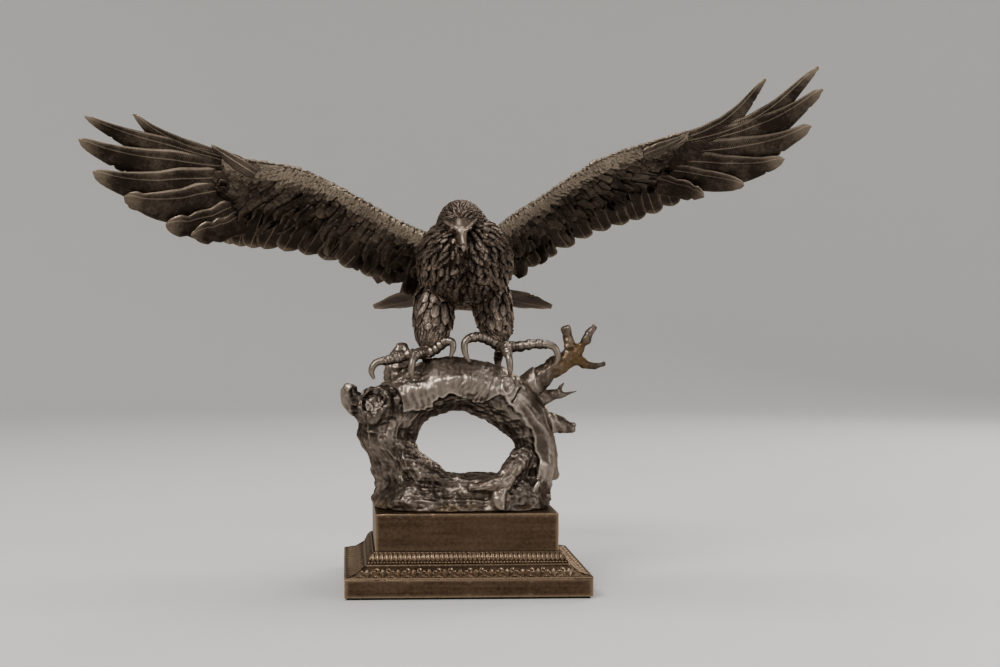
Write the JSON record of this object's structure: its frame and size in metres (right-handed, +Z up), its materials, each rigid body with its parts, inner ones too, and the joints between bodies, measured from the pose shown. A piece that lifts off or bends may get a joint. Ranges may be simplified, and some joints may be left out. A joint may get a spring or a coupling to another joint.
{
  "type": "bronze eagle statuette",
  "caption": "Cast-bronze statuette of an eagle with raised wings perched on a ring-shaped hollow log, on a stepped rectangular ornamented plinth.",
  "frame": {"origin": "middle of the plinth's underside, on the surface it stands on", "axes": "+Z up; the eagle faces -Y; +X is towards the eagle's own left wing and runs along the wingspan"},
  "size_m": [0.5715, 0.2253, 0.3913],
  "materials": {
    "plinth_bronze": "warm brown patina, satin, worn bright on edges",
    "log_bronze": "brown patina, rubbed bronze on raised bark",
    "eagle_bronze": "dark brown patina, rubbed on feather tips",
    "feather_bronze": "dark brown patina, worn along shafts and edges",
    "talon_bronze": "brown patina, rubbed on toes and talons",
    "steel": "plain zinc-plated steel, hidden",
    "felt": "thin green felt"
  },
  "bodies": {
    "root": {"felt_pad": "felt", "plinth_slab": "plinth_bronze", "plinth_block": "plinth_bronze", "cove_front": "plinth_bronze", "cove_back": "plinth_bronze", "cove_left": "plinth_bronze", "cove_right": "plinth_bronze", "leaf_moulding_front": "plinth_bronze", "leaf_moulding_back": "plinth_bronze", "leaf_moulding_left": "plinth_bronze", "leaf_moulding_right": "plinth_bronze", "tie_rods": "steel", "tie_washers": "steel", "tie_nuts": "steel", "wing_dowels": "steel", "foot_pins": "steel", "log_root_base": "log_bronze", "log_left_trunk": "log_bronze", "log_arch": "log_bronze", "log_right_trunk": "log_bronze", "hollow_stump": "log_bronze", "forked_branch": "log_bronze", "twig": "log_bronze", "branch_stub": "log_bronze", "bark_knob": "log_bronze", "body": "eagle_bronze", "head": "eagle_bronze", "thigh_left": "eagle_bronze", "thigh_right": "eagle_bronze", "foot_left": "talon_bronze", "foot_right": "talon_bronze", "wing_arm_left": "eagle_bronze", "wing_arm_right": "eagle_bronze", "secondaries_left": "feather_bronze", "secondaries_right": "feather_bronze", "alula_left": "feather_bronze", "alula_right": "feather_bronze", "primary_left_1": "feather_bronze", "primary_left_2": "feather_bronze", "primary_left_3": "feather_bronze", "primary_left_4": "feather_bronze", "primary_left_5": "feather_bronze", "primary_left_6": "feather_bronze", "primary_left_7": "feather_bronze", "primary_right_1": "feather_bronze", "primary_right_2": "feather_bronze", "primary_right_3": "feather_bronze", "primary_right_4": "feather_bronze", "primary_right_5": "feather_bronze", "primary_right_6": "feather_bronze", "primary_right_7": "feather_bronze", "tail_feather_1": "feather_bronze", "tail_feather_2": "feather_bronze", "tail_feather_3": "feather_bronze", "tail_feather_4": "feather_bronze", "tail_feather_5": "feather_bronze", "tail_feather_6": "feather_bronze", "tail_feather_7": "feather_bronze", "tail_feather_8": "feather_bronze", "tail_feather_9": "feather_bronze"}
  },
  "joints": []
}
